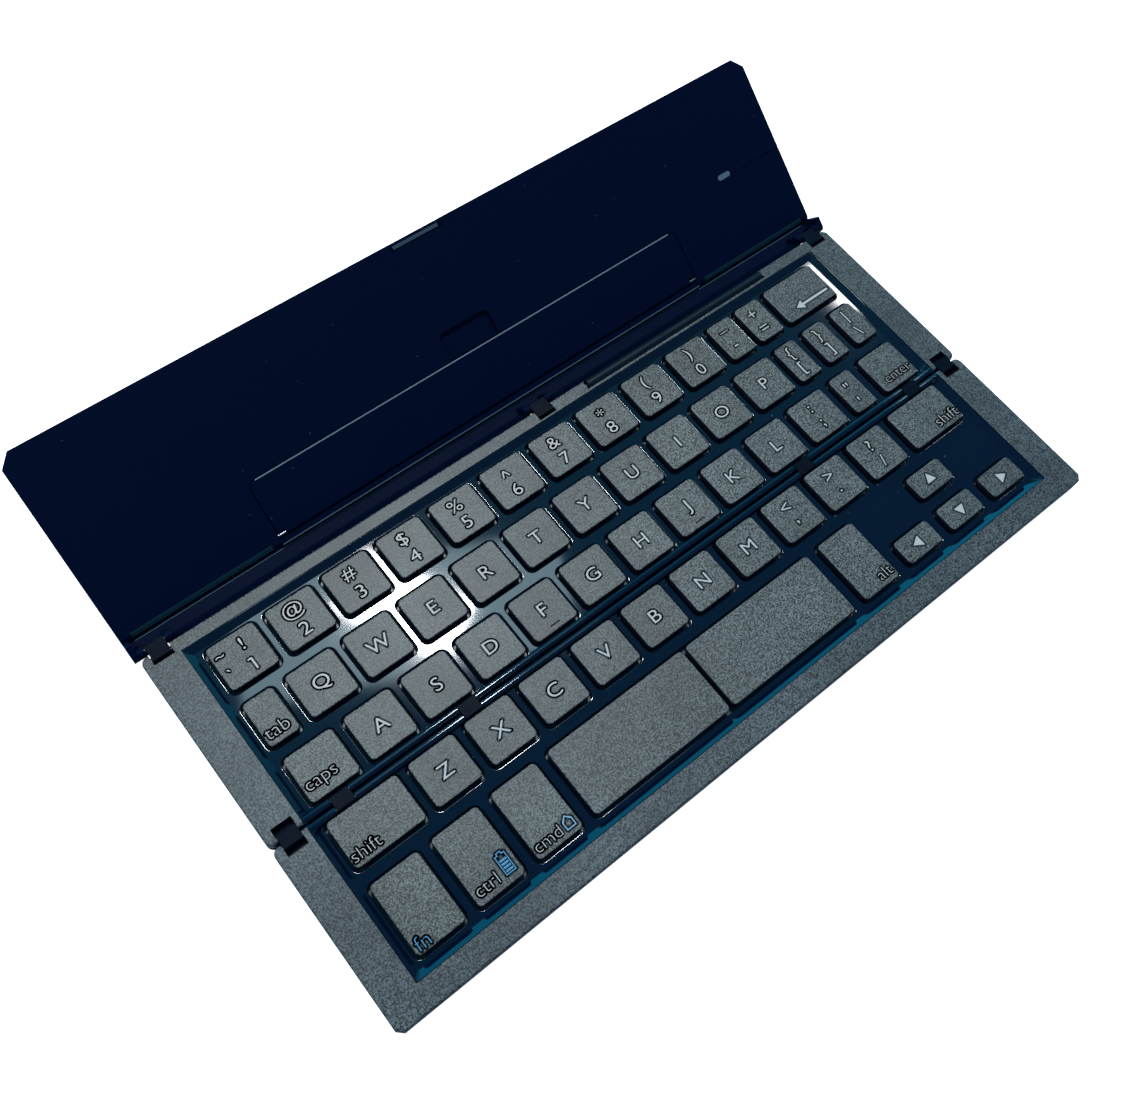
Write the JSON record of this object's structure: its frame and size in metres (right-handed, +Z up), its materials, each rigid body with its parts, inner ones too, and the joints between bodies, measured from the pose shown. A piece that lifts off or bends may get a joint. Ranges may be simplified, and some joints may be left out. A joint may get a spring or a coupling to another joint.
{
  "type": "folding keyboard",
  "caption": "Slim keyboard of two decks that fold together on a double-axis hinge, with a tilting lid that closes over them and holds a device upright.",
  "frame": {"origin": "centre of the box under the open keyboard, on the plane of its feet", "axes": "+X to the user's right along the rows of keys, +Y away from the user towards the lid, +Z up from the table"},
  "size_m": [0.23, 0.1542, 0.0318],
  "materials": {
    "cover": "fine matte moulded black plastic",
    "bezel": "dark grey plastic with a fine light speckle",
    "tray": "polished black plastic",
    "plate": "plain thin steel sheet",
    "membrane": "smooth translucent film, shown opaque",
    "dome": "soft white silicone",
    "scissor": "smooth white plastic",
    "battery": "foil pouch",
    "board": "green solder mask",
    "socket": "stamped steel",
    "barrel": "polished dark coating",
    "pin": "ground steel",
    "foot": "matte black rubber",
    "screw": "blackened steel",
    "link": "smooth dark coating",
    "lid": "soft-touch near-black navy",
    "lid_face": "soft-touch near-black navy",
    "magnet": "smooth pale grey",
    "latch": "smooth pale grey",
    "flap": "soft-touch near-black navy",
    "key": "dark grey plastic with a fine light speckle"
  },
  "bodies": {
    "rear_deck": {"rear_bottom_cover": "cover", "rear_bezel": "bezel", "rear_key_tray": "tray", "rear_support_plate": "plate", "rear_membrane": "membrane", "rear_domes": "dome", "rear_scissors": "scissor", "battery": "battery", "controller_board": "board", "charging_socket": "socket", "hinge_barrel": "barrel", "rear_fold_pins": "pin", "rear_feet": "foot", "rear_screws": "screw"},
    "front_deck": {"front_bottom_cover": "cover", "front_bezel": "bezel", "front_key_tray": "tray", "front_support_plate": "plate", "front_membrane": "membrane", "front_domes": "dome", "front_scissors": "scissor", "front_fold_pins": "pin", "front_feet": "foot", "front_screws": "screw"},
    "fold_links": {"end_fold_links": "link", "inner_fold_links": "link"},
    "lid_links": {"lid_links": "link", "hinge_shaft": "pin", "hinge_stub_pin": "pin"},
    "lid": {"lid_outer_shell": "lid", "lid_inner_panel": "lid_face", "lid_magnet": "magnet", "latch_bar": "latch", "lid_hinge_pins": "pin", "flap_pins": "pin"},
    "flap": {"support_flap": "flap"},
    "key_backspace_body": {"key_backspace": "key"},
    "key_tab_body": {"key_tab": "key"},
    "key_caps_lock_body": {"key_caps_lock": "key"},
    "key_enter_body": {"key_enter": "key"},
    "keys_number_row_body": {"keys_number_row": "key"},
    "keys_top_row_body": {"keys_top_row": "key"},
    "keys_home_row_body": {"keys_home_row": "key"},
    "key_left_shift_body": {"key_left_shift": "key"},
    "key_right_shift_body": {"key_right_shift": "key"},
    "key_fn_body": {"key_fn": "key"},
    "key_ctrl_body": {"key_ctrl": "key"},
    "key_command_body": {"key_command": "key"},
    "key_left_space_body": {"key_left_space": "key"},
    "key_right_space_body": {"key_right_space": "key"},
    "key_alt_body": {"key_alt": "key"},
    "key_arrow_left_body": {"key_arrow_left": "key"},
    "key_arrow_down_body": {"key_arrow_down": "key"},
    "key_arrow_right_body": {"key_arrow_right": "key"},
    "key_arrow_up_body": {"key_arrow_up": "key"},
    "keys_bottom_row_body": {"keys_bottom_row": "key"}
  },
  "joints": [
    {"name": "fold_rear", "type": "hinge", "parent": "rear_deck", "child": "fold_links", "pos_m": [0, -0.02721, 0.0044], "axis": [-1, 0, 0], "range_deg": [0, 90]},
    {"name": "fold_front", "type": "hinge", "parent": "fold_links", "child": "front_deck", "pos_m": [0, -0.02961, 0.0044], "axis": [-1, 0, 0], "range_deg": [0, 90]},
    {"name": "lid_rear", "type": "hinge", "parent": "rear_deck", "child": "lid_links", "pos_m": [0, 0.02534, 0.0044], "axis": [-1, 0, 0], "range_deg": [-90, 0]},
    {"name": "lid_swing", "type": "hinge", "parent": "lid_links", "child": "lid", "pos_m": [0, 0.02864, 0.0044], "axis": [-1, 0, 0], "range_deg": [-55.7, 0]},
    {"name": "flap_hinge", "type": "hinge", "parent": "lid", "child": "flap", "pos_m": [0, 0.03579, 0.00395], "axis": [1, 0, 0], "range_deg": [0, 60]},
    {"name": "key_backspace_travel", "type": "slide", "parent": "rear_deck", "child": "key_backspace_body", "axis": [0, 0, -1], "range_m": [0, 0.0012], "stiffness_N_per_m": 500},
    {"name": "key_tab_travel", "type": "slide", "parent": "rear_deck", "child": "key_tab_body", "axis": [0, 0, -1], "range_m": [0, 0.0012], "stiffness_N_per_m": 500},
    {"name": "key_caps_lock_travel", "type": "slide", "parent": "rear_deck", "child": "key_caps_lock_body", "axis": [0, 0, -1], "range_m": [0, 0.0012], "stiffness_N_per_m": 500},
    {"name": "key_enter_travel", "type": "slide", "parent": "rear_deck", "child": "key_enter_body", "axis": [0, 0, -1], "range_m": [0, 0.0012], "stiffness_N_per_m": 500},
    {"name": "keys_number_row_travel", "type": "slide", "parent": "rear_deck", "child": "keys_number_row_body", "axis": [0, 0, -1], "range_m": [0, 0.0012], "stiffness_N_per_m": 500},
    {"name": "keys_top_row_travel", "type": "slide", "parent": "rear_deck", "child": "keys_top_row_body", "axis": [0, 0, -1], "range_m": [0, 0.0012], "stiffness_N_per_m": 500},
    {"name": "keys_home_row_travel", "type": "slide", "parent": "rear_deck", "child": "keys_home_row_body", "axis": [0, 0, -1], "range_m": [0, 0.0012], "stiffness_N_per_m": 500},
    {"name": "key_left_shift_travel", "type": "slide", "parent": "front_deck", "child": "key_left_shift_body", "axis": [0, 0, -1], "range_m": [0, 0.0012], "stiffness_N_per_m": 500},
    {"name": "key_right_shift_travel", "type": "slide", "parent": "front_deck", "child": "key_right_shift_body", "axis": [0, 0, -1], "range_m": [0, 0.0012], "stiffness_N_per_m": 500},
    {"name": "key_fn_travel", "type": "slide", "parent": "front_deck", "child": "key_fn_body", "axis": [0, 0, -1], "range_m": [0, 0.0012], "stiffness_N_per_m": 500},
    {"name": "key_ctrl_travel", "type": "slide", "parent": "front_deck", "child": "key_ctrl_body", "axis": [0, 0, -1], "range_m": [0, 0.0012], "stiffness_N_per_m": 500},
    {"name": "key_command_travel", "type": "slide", "parent": "front_deck", "child": "key_command_body", "axis": [0, 0, -1], "range_m": [0, 0.0012], "stiffness_N_per_m": 500},
    {"name": "key_left_space_travel", "type": "slide", "parent": "front_deck", "child": "key_left_space_body", "axis": [0, 0, -1], "range_m": [0, 0.0012], "stiffness_N_per_m": 500},
    {"name": "key_right_space_travel", "type": "slide", "parent": "front_deck", "child": "key_right_space_body", "axis": [0, 0, -1], "range_m": [0, 0.0012], "stiffness_N_per_m": 500},
    {"name": "key_alt_travel", "type": "slide", "parent": "front_deck", "child": "key_alt_body", "axis": [0, 0, -1], "range_m": [0, 0.0012], "stiffness_N_per_m": 500},
    {"name": "key_arrow_left_travel", "type": "slide", "parent": "front_deck", "child": "key_arrow_left_body", "axis": [0, 0, -1], "range_m": [0, 0.0012], "stiffness_N_per_m": 500},
    {"name": "key_arrow_down_travel", "type": "slide", "parent": "front_deck", "child": "key_arrow_down_body", "axis": [0, 0, -1], "range_m": [0, 0.0012], "stiffness_N_per_m": 500},
    {"name": "key_arrow_right_travel", "type": "slide", "parent": "front_deck", "child": "key_arrow_right_body", "axis": [0, 0, -1], "range_m": [0, 0.0012], "stiffness_N_per_m": 500},
    {"name": "key_arrow_up_travel", "type": "slide", "parent": "front_deck", "child": "key_arrow_up_body", "axis": [0, 0, -1], "range_m": [0, 0.0012], "stiffness_N_per_m": 500},
    {"name": "keys_bottom_row_travel", "type": "slide", "parent": "front_deck", "child": "keys_bottom_row_body", "axis": [0, 0, -1], "range_m": [0, 0.0012], "stiffness_N_per_m": 500}
  ],
  "couplings": [
    {"joint": "lid_swing", "follows": "lid_rear", "ratio": 0.61889}
  ]
}
